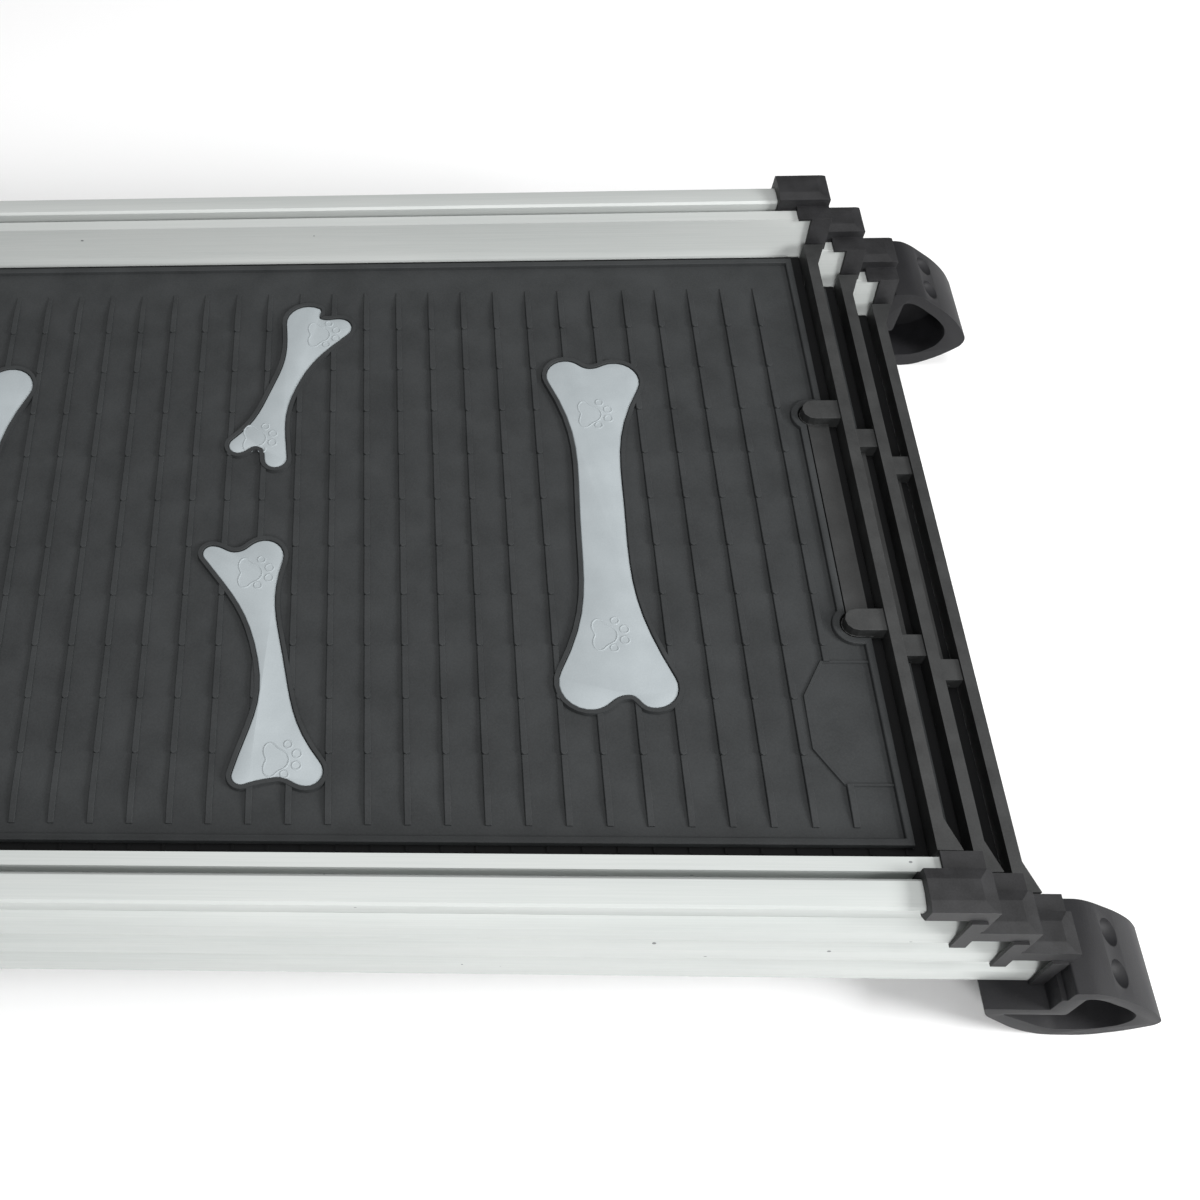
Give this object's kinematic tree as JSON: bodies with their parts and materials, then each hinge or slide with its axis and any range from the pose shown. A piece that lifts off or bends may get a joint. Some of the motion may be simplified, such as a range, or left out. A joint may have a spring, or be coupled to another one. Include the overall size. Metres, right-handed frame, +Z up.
{
  "type": "telescoping dog ramp",
  "caption": "Telescoping dog ramp, closed: stacked sections with ribbed rubber mats slide along aluminium side rails and stand on rubber feet.",
  "frame": {"origin": "on the floor under the feet, at the middle of the closed ramp's length and width", "axes": "+X runs along the ramp to the end that stands on the ground, the sections pull out towards -X, +Y runs to the far side and +Z is up"},
  "size_m": [0.7652, 0.459, 0.1273],
  "materials": {
    "anodised_aluminium": "satin clear anodised extrusion",
    "black_plastic": "moulded, finely textured",
    "bar_plastic": "moulded, lightly worn on top",
    "deck_plastic": "moulded panel",
    "mat_rubber": "moulded rubber with a raised rib pattern",
    "grey_rubber": "moulded rubber inlay",
    "foot_rubber": "moulded rubber",
    "steel": "zinc-plated screw"
  },
  "bodies": {
    "bottom_section": {"bottom_bone_far": "grey_rubber", "bottom_bone_left": "grey_rubber", "bottom_bone_near": "grey_rubber", "bottom_bone_right": "grey_rubber", "bottom_cap_right_far": "black_plastic", "bottom_cap_right_near": "black_plastic", "bottom_crossbar_left": "bar_plastic", "bottom_crossbar_right": "bar_plastic", "bottom_deck": "deck_plastic", "bottom_mat": "mat_rubber", "bottom_plug_left_far": "black_plastic", "bottom_plug_left_near": "black_plastic", "bottom_rail_far": "anodised_aluminium", "bottom_rail_near": "anodised_aluminium", "ground_foot_far": "foot_rubber", "ground_foot_far_screw_1": "steel", "ground_foot_far_screw_2": "steel", "ground_foot_near": "foot_rubber", "ground_foot_near_screw_1": "steel", "ground_foot_near_screw_2": "steel", "rest_pad_far": "foot_rubber", "rest_pad_near": "foot_rubber"},
    "middle_section": {"middle_bone_far": "grey_rubber", "middle_bone_left": "grey_rubber", "middle_bone_near": "grey_rubber", "middle_bone_right": "grey_rubber", "middle_cap_right_far": "black_plastic", "middle_cap_right_near": "black_plastic", "middle_crossbar_left": "bar_plastic", "middle_crossbar_right": "bar_plastic", "middle_deck": "deck_plastic", "middle_mat": "mat_rubber", "middle_plug_left_far": "black_plastic", "middle_plug_left_near": "black_plastic", "middle_rail_far": "anodised_aluminium", "middle_rail_near": "anodised_aluminium", "middle_stop_pad_far": "black_plastic", "middle_stop_pad_near": "black_plastic"},
    "top_section": {"top_bone_far": "grey_rubber", "top_bone_left": "grey_rubber", "top_bone_near": "grey_rubber", "top_bone_right": "grey_rubber", "top_cap_left_far": "black_plastic", "top_cap_left_near": "black_plastic", "top_cap_right_far": "black_plastic", "top_cap_right_near": "black_plastic", "top_crossbar_left": "bar_plastic", "top_crossbar_right": "bar_plastic", "top_deck": "deck_plastic", "top_mat": "mat_rubber", "top_rail_far": "anodised_aluminium", "top_rail_near": "anodised_aluminium", "top_stop_pad_far": "black_plastic", "top_stop_pad_near": "black_plastic", "vehicle_foot_far": "foot_rubber", "vehicle_foot_far_screw_1": "steel", "vehicle_foot_far_screw_2": "steel", "vehicle_foot_near": "foot_rubber", "vehicle_foot_near_screw_1": "steel", "vehicle_foot_near_screw_2": "steel"}
  },
  "joints": [
    {"name": "middle_slide", "type": "slide", "parent": "bottom_section", "child": "middle_section", "axis": [-1, 0, 0], "range_m": [0, 0.5]},
    {"name": "top_slide", "type": "slide", "parent": "middle_section", "child": "top_section", "axis": [-1, 0, 0], "range_m": [0, 0.5]}
  ]
}
